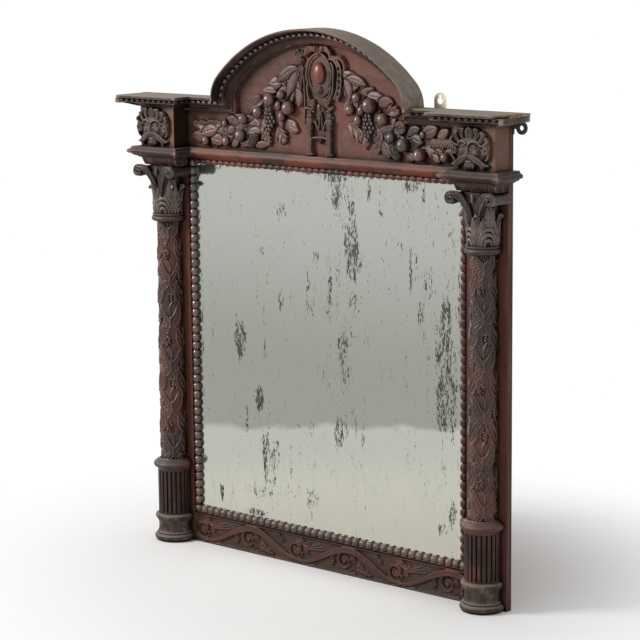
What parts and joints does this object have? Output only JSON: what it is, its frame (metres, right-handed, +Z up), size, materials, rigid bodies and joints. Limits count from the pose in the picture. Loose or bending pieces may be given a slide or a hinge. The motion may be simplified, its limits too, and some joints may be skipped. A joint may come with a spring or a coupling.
{
  "type": "overmantel mirror",
  "caption": "Arched overmantel mirror frame with carved half columns, beaded sight edge, fruit swags in the frieze and a silvered plate.",
  "frame": {"origin": "middle of the width and of the whole depth, on the floor plane that the feet and stiles stand on", "axes": "+X to the right as seen from the front, +Y to the back, towards the wall, +Z up"},
  "size_m": [1.155, 0.111, 1.2799],
  "materials": {
    "black_iron": "blackened, dull",
    "oak_dark": "dark brown stain, worn edges",
    "oak_dusty": "dark stained, rubbed and dusty",
    "oak_raw": "unpolished, dusty",
    "oak_red": "red-brown stain, rubbed",
    "pale_brass": "dull, dirty",
    "pine_back": "raw planed pine",
    "silvered_plate": "old silvered plate with foxing"
  },
  "bodies": {
    "root": {"stile_left": "oak_red", "stile_right": "oak_red", "bottom_rail": "oak_dark", "head_rail": "oak_dark", "frieze_board": "oak_red", "bead_strip_left": "oak_dark", "bead_strip_right": "oak_dark", "bead_strip_top": "oak_dark", "bead_strip_bottom": "oak_dark", "mirror_glass": "silvered_plate", "backboard_1": "pine_back", "backboard_2": "pine_back", "backboard_3": "pine_back", "backboard_4": "pine_back", "glazing_blocks": "pine_back", "backboard_nails": "black_iron", "column_base_left": "oak_dusty", "column_base_right": "oak_dusty", "reeded_drum_left": "oak_dark", "reeded_drum_right": "oak_dark", "shaft_left": "oak_dark", "shaft_right": "oak_dark", "capital_left": "oak_dusty", "capital_right": "oak_dusty", "impost_left": "oak_dusty", "impost_right": "oak_dusty", "frieze_block_left": "oak_red", "frieze_block_right": "oak_red", "mask_left": "oak_dusty", "mask_right": "oak_dusty", "architrave_front": "oak_red", "architrave_return_left": "oak_red", "architrave_return_right": "oak_red", "architrave_break_left": "oak_red", "architrave_break_right": "oak_red", "architrave_side_left": "oak_red", "architrave_side_right": "oak_red", "cornice_straight_left": "oak_dark", "cornice_straight_right": "oak_dark", "cornice_return_left": "oak_dark", "cornice_return_right": "oak_dark", "cornice_front_left": "oak_dark", "cornice_front_right": "oak_dark", "cornice_side_left": "oak_dark", "cornice_side_right": "oak_dark", "frieze_band_left": "oak_red", "frieze_band_right": "oak_red", "arch_band": "oak_red", "arch_moulding": "oak_dark", "hood_board": "oak_raw", "shelf_left": "oak_raw", "shelf_right": "oak_raw", "cartouche": "oak_dark", "swag_left": "oak_dark", "swag_right": "oak_dark", "eye_plate": "black_iron", "keyhole_plate": "pale_brass", "plate_screws": "black_iron"}
  },
  "joints": []
}
